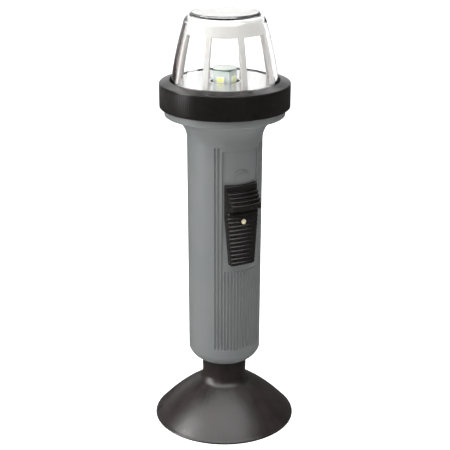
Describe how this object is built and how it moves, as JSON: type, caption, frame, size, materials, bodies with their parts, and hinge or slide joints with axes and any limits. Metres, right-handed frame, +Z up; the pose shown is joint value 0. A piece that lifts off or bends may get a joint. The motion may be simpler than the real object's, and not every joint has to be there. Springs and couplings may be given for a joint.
{
  "type": "portable navigation light",
  "caption": "Battery navigation light: clear lens over a white cage and LED tower, black screw ring, grey barrel with slide switch, rubber suction cup base.",
  "frame": {"origin": "centre of the suction cup's rim, on the surface it stands on", "axes": "+Z up along the barrel to the lens; the slide switch faces -Y"},
  "size_m": [0.0762, 0.0762, 0.2234],
  "materials": {
    "cup_rubber": "moulded black rubber, slightly scuffed",
    "grey_plastic": "satin moulded grey plastic",
    "black_plastic": "black moulded plastic",
    "slider_plastic": "black moulded plastic",
    "clear_lens": "clear polished acrylic",
    "white_cage": "white moulded plastic",
    "silver_dish": "metallised moulding",
    "brass": "plain brass",
    "steel": "zinc-plated steel",
    "spring_steel": "nickel-plated spring steel",
    "seal_rubber": "black rubber",
    "holder_plastic": "black moulded plastic",
    "circuit_board": "green solder mask",
    "ferrite": "dark ferrite",
    "copper_wire": "enamelled copper",
    "chip_plastic": "black epoxy",
    "capacitor_can": "plain aluminium can",
    "post_metal": "plain aluminium",
    "led_board": "white solder mask",
    "led_white": "white package",
    "led_yellow": "yellow phosphor",
    "clear_cap": "clear pale green acrylic",
    "cell_metal": "dark painted jacket with no text",
    "cell_seal": "black nylon",
    "cell_cap": "nickel-plated steel"
  },
  "bodies": {
    "cup": {"suction_cup": "cup_rubber"},
    "light": {"barrel": "grey_plastic", "cup_stud": "steel", "stud_washer": "steel", "stud_nut": "steel", "lower_contact": "spring_steel", "battery_spring": "spring_steel", "lower_strip": "spring_steel", "upper_strip": "spring_steel", "head_seal": "seal_rubber"},
    "cells": {"lower_cell_can": "cell_metal", "lower_cell_seal": "cell_seal", "lower_cell_cap": "cell_cap", "upper_cell_can": "cell_metal", "upper_cell_seal": "cell_seal", "upper_cell_cap": "cell_cap"},
    "slide": {"switch_slider": "slider_plastic", "switch_rivet": "brass", "switch_shuttle": "brass"},
    "head": {"lens": "clear_lens", "lens_cage": "white_cage", "reflector_dish": "silver_dish", "lamp_holder": "holder_plastic", "driver_board": "circuit_board", "board_screws": "steel", "centre_contact": "brass", "ring_contact": "brass", "driver_coil": "ferrite", "coil_winding": "copper_wire", "driver_chip": "chip_plastic", "driver_capacitors": "capacitor_can", "lamp_post": "post_metal", "led_boards": "led_board", "led_bodies": "led_white", "led_phosphors": "led_yellow", "top_board": "circuit_board", "lamp_cap": "clear_cap"},
    "ring": {"bezel_ring": "black_plastic"}
  },
  "joints": [
    {"name": "cup_press", "type": "slide", "parent": "cup", "child": "light", "axis": [0, 0, 1], "range_m": [-0.006, 0], "stiffness_N_per_m": 2000, "springref_m": 0.006, "deforming": ["suction_cup"]},
    {"name": "switch_slide", "type": "slide", "parent": "light", "child": "slide", "axis": [0, 0, 1], "range_m": [0, 0.005]},
    {"name": "head_lift", "type": "slide", "parent": "light", "child": "head", "axis": [0, 0, 1], "range_m": [0, 0.0045]},
    {"name": "cells_rise", "type": "slide", "parent": "light", "child": "cells", "axis": [0, 0, 1], "range_m": [0, 0.0045], "deforming": ["battery_spring"]},
    {"name": "ring_turn", "type": "hinge", "parent": "head", "child": "ring", "pos_m": [0, 0, 0.181], "axis": [0, 0, 1], "range_deg": [0, 540]}
  ],
  "couplings": [
    {"joint": "ring_turn", "follows": "head_lift", "rad_per_m": 2094.4},
    {"joint": "cells_rise", "follows": "head_lift", "ratio": 1}
  ]
}
